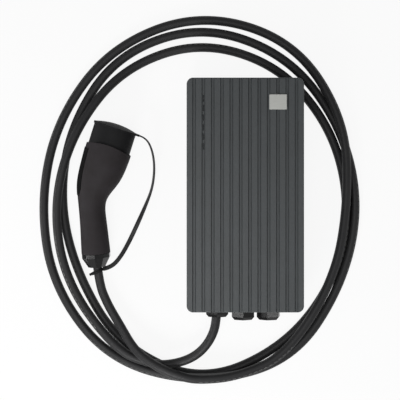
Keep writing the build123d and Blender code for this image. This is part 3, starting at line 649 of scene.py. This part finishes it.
# %% [markdown]
# ## Cable sheath
#
# The sheath is extruded polyurethane: matt black, with faint streaks along it from the die and a
# slow change of shade where it has been handled. Along its upper side run groups of short pale ink
# dashes. The tube's map counts metres along the cable, so the dashes are written in millimetres:
# 5 mm long every 8 mm, for 150 mm out of every 460 mm.

# %% Sheath with streaks and dashes
def cable_sheath():
    material, tree = new_finish("extruded_polyurethane")
    handled_width = 35
    streak_length, streaks_round = 60 * MM, 26.0
    group_length, group_pitch, group_shift = 150 * MM, 460 * MM, 190 * MM
    dash_length, dash_pitch = 5 * MM, 8 * MM
    print_place, print_half_width = 0.305, 0.014  # shares of the way round
    ink_cover = 0.3

    cable_map = add(tree, "ShaderNodeUVMap", uv_map="along_and_round").outputs[0]
    along, round_share = add(tree, "ShaderNodeSeparateXYZ", {0: cable_map}).outputs[:2]
    handled = noise(tree, object_place(tree), handled_width, detail=3.0)
    black = two_tone(tree, handled, srgb("#222223"), srgb("#2b2b2c"))

    stretch = add(
        tree,
        "ShaderNodeMapping",
        {"Vector": cable_map, "Scale": (1 / streak_length, streaks_round, 1.0)},
    )
    pattern = {"Vector": stretch.outputs[0], "Scale": 1.0, "Detail": 2.0}
    streaks = add(tree, "ShaderNodeTexNoise", pattern).outputs[0]

    group = calculate(tree, "MODULO", calculate(tree, "ADD", along, group_shift), group_pitch)
    in_group = calculate(tree, "LESS_THAN", group, group_length)
    in_dash = calculate(tree, "LESS_THAN", calculate(tree, "MODULO", along, dash_pitch), dash_length)
    on_line = calculate(tree, "COMPARE", round_share, print_place, print_half_width)
    ink = calculate(tree, "MULTIPLY", calculate(tree, "MULTIPLY", in_group, in_dash), on_line)
    colour = two_tone(tree, calculate(tree, "MULTIPLY", ink, ink_cover), black, srgb("#9a9a98"))

    gloss = between(tree, streaks, 0.44, 0.6)
    skin = add(tree, "ShaderNodeBump", {"Height": streaks, "Strength": 0.15, "Distance": 0.1 * MM})
    lead_out(
        tree,
        {
            "Base Color": colour,
            "Roughness": gloss,
            "IOR": 1.5,
            "Specular IOR Level": 0.3,
            "Normal": skin.outputs[0],
        },
    )
    return material


cable.data.materials.append(cable_sheath())
print("sheath on", cable.name)

# %% [markdown]
# ## Floor
#
# The floor is white paper. To the camera and in reflections most of its brightness is its own, so
# it stays white without more light on the object, and the rest is lit, so the object's shadow
# still falls on it. All other rays see a grey floor, so that it throws little light back at the
# object from below.

# %% White floor
def seen_share(tree):
    """One for rays from the camera, from mirrors and through clear pieces, nought for all others."""
    path = add(tree, "ShaderNodeLightPath").outputs
    mirrored = calculate(tree, "MAXIMUM", path["Is Glossy Ray"], path["Is Transmission Ray"])
    return calculate(tree, "MAXIMUM", path["Is Camera Ray"], mirrored)


def white_paper():
    material, tree = new_finish("white_paper")
    own_light = 0.9
    seen = seen_share(tree)
    own_share = calculate(tree, "MULTIPLY", seen, own_light)
    paper = two_tone(tree, seen, srgb("#8c8c8c"), srgb("#f4f4f4"))
    lit = add(tree, "ShaderNodeBsdfDiffuse", {"Color": paper}).outputs[0]
    own = add(tree, "ShaderNodeEmission", {"Color": srgb("#ffffff"), "Strength": 1.0}).outputs[0]
    mix = add(tree, "ShaderNodeMixShader", {0: own_share, 1: lit, 2: own})
    add(tree, "ShaderNodeOutputMaterial", {"Surface": mix.outputs[0]})
    return material


floor_reach = 3.0
floor_level = -0.4 * MM
floor_mesh = bpy.data.meshes.new("floor")
signs = [(-1, -1), (1, -1), (1, 1), (-1, 1)]
corners = [(x * floor_reach, y * floor_reach, floor_level) for x, y in signs]
floor_mesh.from_pydata(corners, [], [(0, 1, 2, 3)])
floor = bpy.data.objects.new("floor", floor_mesh)
floor_mesh.materials.append(white_paper())
bpy.context.scene.collection.objects.link(floor)
print("floor", 2 * floor_reach, "m wide")

# %% [markdown]
# ## Lamps
#
# A large soft lamp hangs above, a little to the left. A smaller one stands low in front of the
# lower end of the box, where the cable is brightest, and a weak one fills from the right. One near
# the floor on the left draws a lighter edge along the outer side of the cable. Two small lamps far
# out on both sides give the glints: each stands where one flat of a gland nut mirrors it towards
# the camera. None of them is seen by the camera itself.

# %% Lamps
lamp_aim = Vector((-30 * MM, -20 * MM, 0.0))
# Name, place and width in metres, watts
lamps = [
    ("left_lamp", (-0.3, -0.2, 1.45), 0.6, 4.7),
    ("right_lamp", (1.2, -0.1, 0.75), 0.5, 0.4),
    ("near_lamp", (-0.3, -0.8, 0.6), 0.3, 4.6),
    ("low_lamp", (-1.0, -0.1, 0.2), 0.3, 2.0),
    ("left_glint", (-1.25, -0.34, 0.85), 0.16, 1.0),
    ("right_glint", (1.08, -0.34, 1.11), 0.16, 1.0),
]


def soft_lamp(name, place, width, watts):
    """Square lamp, turned to the object."""
    data = bpy.data.lights.new(name, "AREA")
    data.shape = "SQUARE"
    data.size = width
    data.energy = watts
    lamp = bpy.data.objects.new(name, data)
    lamp.location = place
    lamp.visible_camera = False
    lamp.rotation_euler = (lamp_aim - Vector(place)).to_track_quat("-Z", "Y").to_euler()
    bpy.context.scene.collection.objects.link(lamp)


for lamp_values in lamps:
    soft_lamp(*lamp_values)

# %% [markdown]
# ## Sky
#
# The room lights the object weakly and evenly. Near the horizon it turns into white walls, which
# only the camera and reflections see; so the picture stays white behind the object, and smooth
# pieces mirror a bright rim.

# %% Sky
wall_foot, wall_top = 0.02, 0.14
room_light, wall_light = 0.3, 1.0
world = bpy.data.worlds.new("studio")
bpy.context.scene.world = world
world.use_nodes = True
sky = world.node_tree
sky.nodes.clear()
way = add(sky, "ShaderNodeTexCoord").outputs["Generated"]
upward = add(sky, "ShaderNodeSeparateXYZ", {0: way}).outputs[2]
walls = between(sky, upward, 1.0, 0.0, wall_foot, wall_top)
white_share = calculate(sky, "MULTIPLY", seen_share(sky), walls)
white = srgb("#ffffff")
room = add(sky, "ShaderNodeBackground", {"Color": white, "Strength": room_light}).outputs[0]
backdrop = add(sky, "ShaderNodeBackground", {"Color": white, "Strength": wall_light}).outputs[0]
sky_mix = add(sky, "ShaderNodeMixShader", {0: white_share, 1: room, 2: backdrop})
add(sky, "ShaderNodeOutputWorld", {"Surface": sky_mix.outputs[0]})
print("sky", len(sky.nodes), "nodes")
